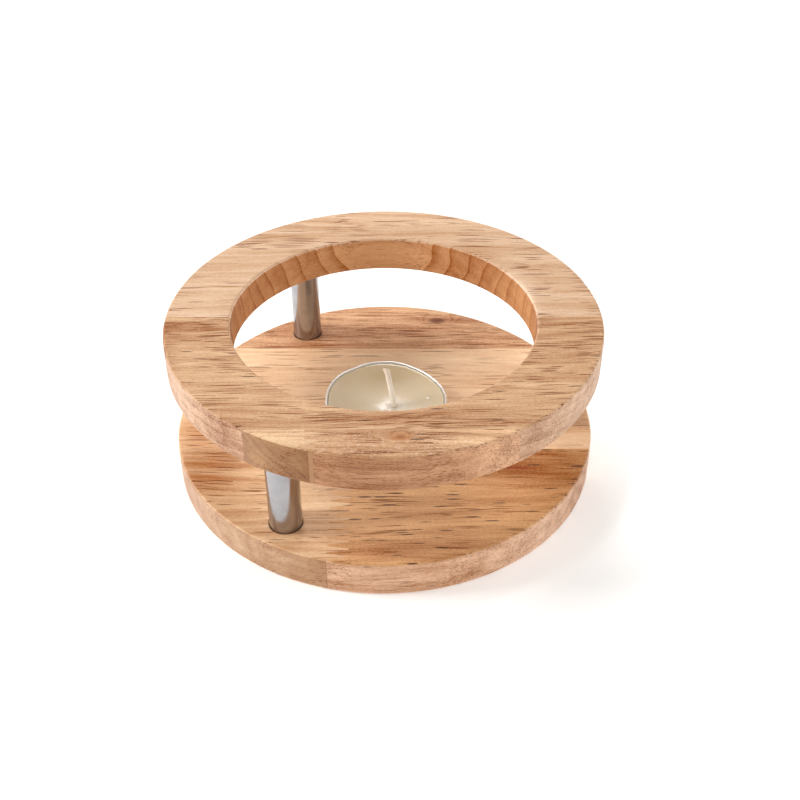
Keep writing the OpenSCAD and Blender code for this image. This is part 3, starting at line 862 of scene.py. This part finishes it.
def paraffin_wax():
    material, t, place = new_material("paraffin_wax")
    cloud = add(t, "ShaderNodeTexNoise", {"Vector": place, "Scale": 1 / WAX_CLOUD_SIZE, "Detail": 3})["Fac"]
    bloom = add(t, "ShaderNodeTexNoise", {"Vector": place, "Scale": 1 / BLOOM_SIZE, "Detail": 1})["Fac"]
    tint = add(t, "ShaderNodeMix", {0: cloud, 6: linear("#e0d2b6"), 7: linear("#d4c19f")},
               data_type="RGBA")[2]
    # The first patch is painted shade at the back, the second a painted highlight round the wick.
    for patch, shade in ((PAINTED_SHADE_PATCH, "#b39d76"), (PAINTED_HIGHLIGHT_PATCH, "#f5eee2")):
        share = soft_patch(t, place, *patch)
        share = add(t, "ShaderNodeMath", {0: share, 1: PATCH_SHARE}, operation="MULTIPLY")[0]
        tint = add(t, "ShaderNodeMix", {0: share, 6: tint, 7: linear(shade)}, data_type="RGBA")[2]
    roughness = add(t, "ShaderNodeMapRange", {0: bloom, 1: BLOOM_LOW, 2: BLOOM_HIGH,
                                              3: WAX_SHINIEST, 4: WAX_DULLEST})[0]
    bump = add(t, "ShaderNodeBump", {"Height": bloom, "Strength": 0.1, "Distance": BLOOM_DEPTH * MM})[0]
    shader = add(t, "ShaderNodeBsdfPrincipled", {
        "Base Color": tint, "Roughness": roughness, "IOR": 1.44, "Normal": bump, "Subsurface Weight": 0.5,
        "Subsurface Radius": (1.0, 0.75, 0.5), "Subsurface Scale": 1.5 * MM})[0]
    t.links.new(shader, t.nodes["Material Output"].inputs["Surface"])
    return material


stand_for(wax, "tealight_wax", paraffin_wax())

# %% [markdown]
# The wick is a flat braid of cotton, stiffened with wax, that leans away from where it leaves the candle.
# It follows the CAD model's own path. The strands cross in two directions, so the section swells where a
# strand of either set comes to the surface.

# %% The wick's path and braid
WICK_FOOT = CUP + WICK + Vector((0, 0, 1.2))
WICK_PLANE = math.radians(114)
BEND = 4.0
FREE_FROM = 13.4
# Each stretch has a length and the angles from upright at its start and end.
STRETCHES = [(FREE_FROM, 0, 0), (BEND * math.radians(30), 0, 30), (7.5, 30, 30),
             (BEND * math.radians(12), 30, 42), (1.5, 42, 42)]
LENGTH = sum(length for length, _, _ in STRETCHES)
STRANDS, STRAND_PITCH = 2.0, 5.2


def braid(turn, along):
    """How far the strands stand out at an angle round the wick and a length along it."""
    pitch = 2 * math.pi * along / STRAND_PITCH
    one = abs(math.sin(STRANDS * turn + pitch))
    other = abs(math.sin(STRANDS * turn - pitch))
    return max(one, other)


print("the wick is", round(LENGTH, 1), "mm long")

# %% [markdown]
# The section is carried along the path in short steps and turned with it. It is a little flatter where it
# comes free of the wax. The end was cut aslant, and there the braid opens a little.

# %% The wick's skin
STEP, WICK_FACETS = 0.2, 32
STRAND_SWELL, MEAN_STRAND = 0.07, 0.85
# Shares of the wick's radius: held in the wax, how much it shrinks when free, and how it opens at the end.
HELD, FREE_WIDTH, FREE_DEPTH, OPEN_WIDTH, OPEN_DEPTH = 0.88, 0.02, 0.14, 0.2, 0.1
FREEING, OPENING = 2.5, 1.6
END_SLANT, END_FRAY, FRAYS = 0.45, 0.12, 5
TIP_SIZE, TIP_SINK = 0.55, 0.1
UP = Vector((0, 0, 1))

lean_way = Vector((math.cos(WICK_PLANE), math.sin(WICK_PLANE), 0))
side_way = Vector((-lean_way.y, lean_way.x, 0))
middle = WICK_FOOT.copy()
along = 0.0
wick_rings = []
for length, start, stop in STRETCHES:
    steps = max(2, round(length / STEP))
    for i in range(steps):
        tilt = math.radians(start + (stop - start) * (i + 0.5) / steps)
        forward = UP * math.cos(tilt) + lean_way * math.sin(tilt)
        across = lean_way * math.cos(tilt) - UP * math.sin(tilt)
        free = min(1, max(0, (along - FREE_FROM) / FREEING))
        opened = max(0, 1 - (LENGTH - along) / OPENING)
        half_width = WICK_RADIUS * (HELD - FREE_WIDTH * free + OPEN_WIDTH * opened)
        half_depth = WICK_RADIUS * (HELD - FREE_DEPTH * free - OPEN_DEPTH * opened)
        ring = []
        for k in range(WICK_FACETS):
            turn = 2 * math.pi * k / WICK_FACETS
            swell = 1 + STRAND_SWELL * (braid(turn, along) - MEAN_STRAND)
            spot = (side_way * math.cos(turn) * half_width + across * math.sin(turn) * half_depth) * swell
            slant = opened * (END_SLANT * math.cos(turn) + END_FRAY * math.sin(FRAYS * turn))
            ring.append(middle + spot + forward * slant)
        wick_rings.append(ring)
        middle = middle + forward * (length / steps)
        along += length / steps
last = wick_rings[-1]
centre = sum(last, Vector()) / len(last)
wick_rings.append([centre + (point - centre) * TIP_SIZE - forward * TIP_SINK for point in last])
wick = skin("braided_wick", wick_rings)
print("the wick has", len(wick_rings), "rings of", WICK_FACETS, "points")

# %% [markdown]
# Bleached cotton is matt, and its loose fibres catch light at the edges, which is what a sheen is for. The
# wax in it makes it creamy, and its free end is a shade darker. The yarns of the braid are about a third of
# a millimetre wide, and their twist shows as fine lines.

# %% Waxed cotton
YARN, YARN_DEPTH, SOAK_SIZE = 0.35, 0.1, 2.5
TIP_FROM, TIP_FULL, TIP_SHARE = 25, 30, 0.8


def waxed_cotton():
    material, t, place = new_material("waxed_cotton")
    slub = add(t, "ShaderNodeTexNoise", {"Vector": place, "Scale": 1 / YARN, "Detail": 3})["Fac"]
    soak = add(t, "ShaderNodeTexNoise", {"Vector": place, "Scale": 1 / SOAK_SIZE, "Detail": 1})["Fac"]
    tint = add(t, "ShaderNodeMix", {0: soak, 6: linear("#fff7ea"), 7: linear("#fcebd6")},
               data_type="RGBA")[2]
    height = add(t, "ShaderNodeSeparateXYZ", {0: place})["Z"]
    tip = add(t, "ShaderNodeMapRange", {0: height, 1: TIP_FROM, 2: TIP_FULL, 4: TIP_SHARE})[0]
    tint = add(t, "ShaderNodeMix", {0: tip, 6: tint, 7: linear("#e2cfba")}, data_type="RGBA")[2]
    bump = add(t, "ShaderNodeBump", {"Height": slub, "Strength": 0.6, "Distance": YARN_DEPTH * MM})[0]
    shader = add(t, "ShaderNodeBsdfPrincipled", {
        "Base Color": tint, "Roughness": 0.75, "IOR": 1.5, "Normal": bump, "Sheen Weight": 0.5,
        "Sheen Roughness": 0.4, "Subsurface Weight": 0.2, "Subsurface Radius": (1.0, 0.8, 0.6),
        "Subsurface Scale": 0.6 * MM})[0]
    t.links.new(shader, t.nodes["Material Output"].inputs["Surface"])
    return material


stand_for(wick, "wick", waxed_cotton())

# %% [markdown]
# Under the wax, the wick's foot stands in a small pressed disc of tinplate. Its shape in the CAD model is
# right as it is, so it only needs its metal: steel sheet with a thin bright coat of tin, which crystallises
# in soft patches.

# %% Tinplate
CRYSTAL_SIZE = 2
TIN_SHINIEST, TIN_DULLEST = 0.22, 0.38


def tinplate():
    material, t, place = new_material("tinplate")
    crystal = add(t, "ShaderNodeTexVoronoi", {"Vector": place, "Scale": 1 / CRYSTAL_SIZE})["Color"]
    patch = add(t, "ShaderNodeSeparateColor", {0: crystal})["Red"]
    tint = add(t, "ShaderNodeMix", {0: patch, 6: linear("#d6d4cf"), 7: linear("#c4c2bd")},
               data_type="RGBA")[2]
    roughness = add(t, "ShaderNodeMapRange", {0: patch, 3: TIN_SHINIEST, 4: TIN_DULLEST})[0]
    shader = add(t, "ShaderNodeBsdfPrincipled", {"Base Color": tint, "Metallic": 1.0,
                                                 "Roughness": roughness})[0]
    t.links.new(shader, t.nodes["Material Output"].inputs["Surface"])
    return material


dress("wick_holder", tinplate())
print("tinplate on wick_holder")

# %% [markdown]
# The table is a plain white sheet, lit from below. It glows more where the softboxes no longer reach, so it
# stays pale to the horizon.

# %% Table
HALF_TABLE = 12.0
MOTTLE_SIZE = 160
GLOW_FROM, GLOW_TO, NEAR_GLOW, FAR_GLOW = 250, 1200, 0.26, 0.6


def white_sheet():
    material, t, place = new_material("white_sheet")
    mottle = add(t, "ShaderNodeTexNoise", {"Vector": place, "Scale": 1 / MOTTLE_SIZE, "Detail": 2})["Fac"]
    tint = add(t, "ShaderNodeMix", {0: mottle, 6: linear("#f8f8f7"), 7: linear("#f4f4f3")},
               data_type="RGBA")[2]
    away = add(t, "ShaderNodeVectorMath", {0: place}, operation="LENGTH")["Value"]
    glow = add(t, "ShaderNodeMapRange", {0: away, 1: GLOW_FROM, 2: GLOW_TO, 3: NEAR_GLOW, 4: FAR_GLOW},
               interpolation_type="SMOOTHSTEP")[0]
    shader = add(t, "ShaderNodeBsdfPrincipled", {"Base Color": tint, "Roughness": 0.8,
                                                 "Emission Color": linear("#ffffff"),
                                                 "Emission Strength": glow})[0]
    t.links.new(shader, t.nodes["Material Output"].inputs["Surface"])
    return material


corners = [(x * HALF_TABLE, y * HALF_TABLE, 0) for x, y in ((-1, -1), (1, -1), (1, 1), (-1, 1))]
table_mesh = bpy.data.meshes.new("table")
table_mesh.from_pydata(corners, [], [(0, 1, 2, 3)])
table_mesh.materials.append(white_sheet())
table = bpy.data.objects.new("table", table_mesh)
bpy.context.scene.collection.objects.link(table)
print("a table", 2 * HALF_TABLE, "m wide")

# %% [markdown]
# The warmer is lit as in a white tent, with three softboxes round it. The one on the left gives the posts
# their soft shadows, the one on the right keeps the far walls open, and the one high at the back puts the
# glints on the wax.

# %% Softboxes
AIM_HEIGHT = 0.025


def softbox(name, place, size, watts):
    """A square area light that faces the warmer, with its place and size in metres."""
    light = bpy.data.lights.new(name, "AREA")
    light.shape = "SQUARE"
    light.size = size
    light.energy = watts
    lamp = bpy.data.objects.new(name, light)
    lamp.location = place
    lamp.rotation_euler = (Vector((0, 0, AIM_HEIGHT)) - Vector(place)).to_track_quat("-Z", "Y").to_euler()
    bpy.context.scene.collection.objects.link(lamp)
    print(name, "gives", watts, "W")


softbox("key_left", (-0.77, 0.02, 0.53), 0.3, 5.5)
softbox("fill_right", (0.85, 0.0, 0.5), 0.6, 2.4)
softbox("back", (-0.11, 0.62, 0.90), 0.32, 3.0)

# %% [markdown]
# The tent itself gives light from all round, most of it from low down and from both sides. One even white
# world would flatten the walls, so its strength depends on where it is looked for.

# %% The white tent
# How high the tent's light begins to fall off, and where it is least, from 0 to 1.
FALL_FROM, FALL_TO = 0.3, 0.85
HORIZON_LIGHT, ZENITH_LIGHT, SIDE_LIGHT = 0.85, 0.34, 0.45

world = bpy.data.worlds.new("white_tent")
world.use_nodes = True
tent = world.node_tree
towards = add(tent, "ShaderNodeSeparateXYZ", {0: add(tent, "ShaderNodeTexCoord")["Generated"]})
glow = add(tent, "ShaderNodeMapRange", {0: towards["Z"], 1: FALL_FROM, 2: FALL_TO,
                                        3: HORIZON_LIGHT, 4: ZENITH_LIGHT})[0]
sideways = add(tent, "ShaderNodeMath", {0: towards["X"], 1: towards["X"]}, operation="MULTIPLY")[0]
sideways = add(tent, "ShaderNodeMath", {0: sideways, 1: SIDE_LIGHT, 2: 1.0}, operation="MULTIPLY_ADD")[0]
glow = add(tent, "ShaderNodeMath", {0: glow, 1: sideways}, operation="MULTIPLY")[0]
tent.nodes["Background"].inputs["Color"].default_value = linear("#fdfcfa")
tent.links.new(glow, tent.nodes["Background"].inputs["Strength"])
bpy.context.scene.world = world
bpy.context.scene.view_settings.view_transform = "Standard"
print("the tent gives", HORIZON_LIGHT, "at the horizon and", ZENITH_LIGHT, "overhead")
